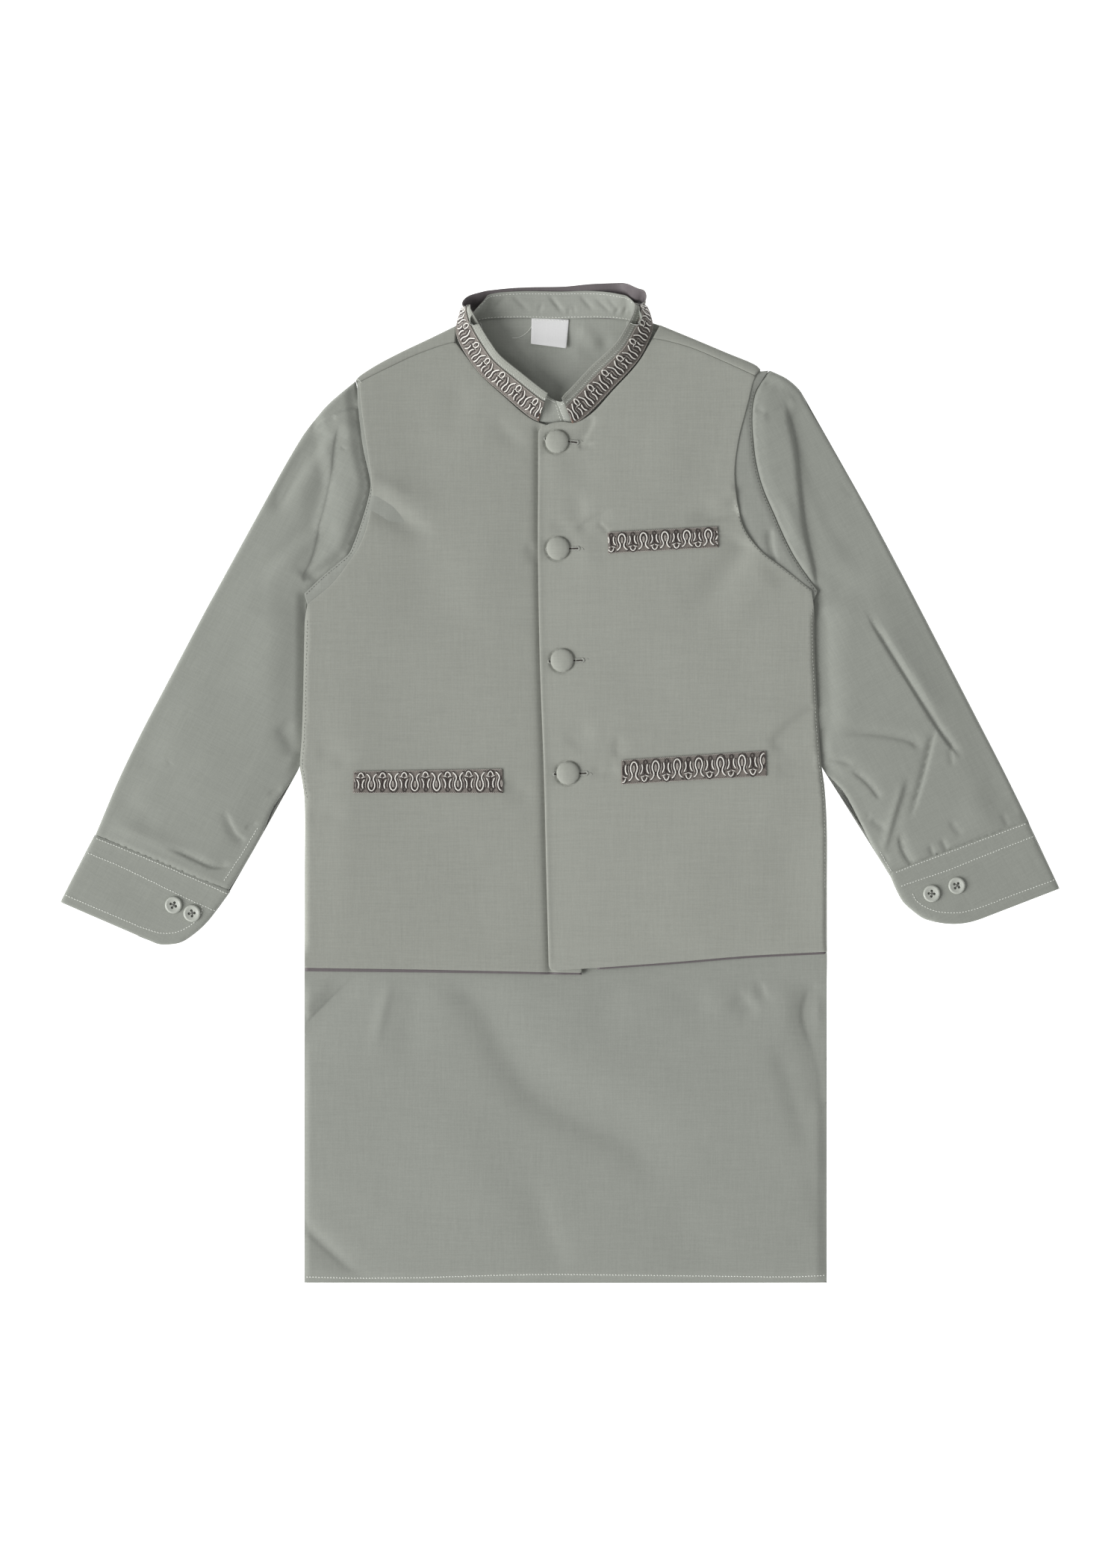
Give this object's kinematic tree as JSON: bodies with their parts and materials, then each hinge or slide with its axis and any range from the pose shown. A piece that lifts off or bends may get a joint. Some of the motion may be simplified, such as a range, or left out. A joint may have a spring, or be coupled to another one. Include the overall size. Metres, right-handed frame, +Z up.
{
  "type": "kameez with waistcoat",
  "caption": "Child's long-sleeved tunic with a stand-collared, button-front waistcoat over it, ribbon-trimmed at collar and welt pockets, laid flat on its back.",
  "frame": {"origin": "middle of the garment's bounding box, at the surface it lies on", "axes": "+Z up from the surface, +Y towards the neck, +X towards the wearer's left sleeve"},
  "size_m": [0.6558, 0.6544, 0.0266],
  "materials": {
    "cloth": "matte, faint sheen",
    "ribbon": "woven ribbon with raised silvery cord",
    "tape": "matte woven tape",
    "button": "satin"
  },
  "bodies": {
    "root": {"waistcoat_back": "cloth", "waistcoat_front_right": "cloth", "waistcoat_front_left": "cloth", "waistcoat_collar": "cloth", "collar_ribbon": "ribbon", "pocket_ribbon_chest": "ribbon", "pocket_ribbon_lower_left": "ribbon", "pocket_ribbon_lower_right": "ribbon", "kameez_back": "cloth", "kameez_front": "cloth", "kameez_placket": "cloth", "kameez_collar": "cloth", "kameez_sleeve_right": "cloth", "kameez_sleeve_left": "cloth", "kameez_cuff_right": "cloth", "kameez_cuff_left": "cloth", "neck_label": "tape", "covered_button_1": "cloth", "covered_button_2": "cloth", "covered_button_3": "cloth", "covered_button_4": "cloth", "cuff_button_right_1": "button", "cuff_button_right_2": "button", "cuff_button_left_1": "button", "cuff_button_left_2": "button"}
  },
  "joints": []
}
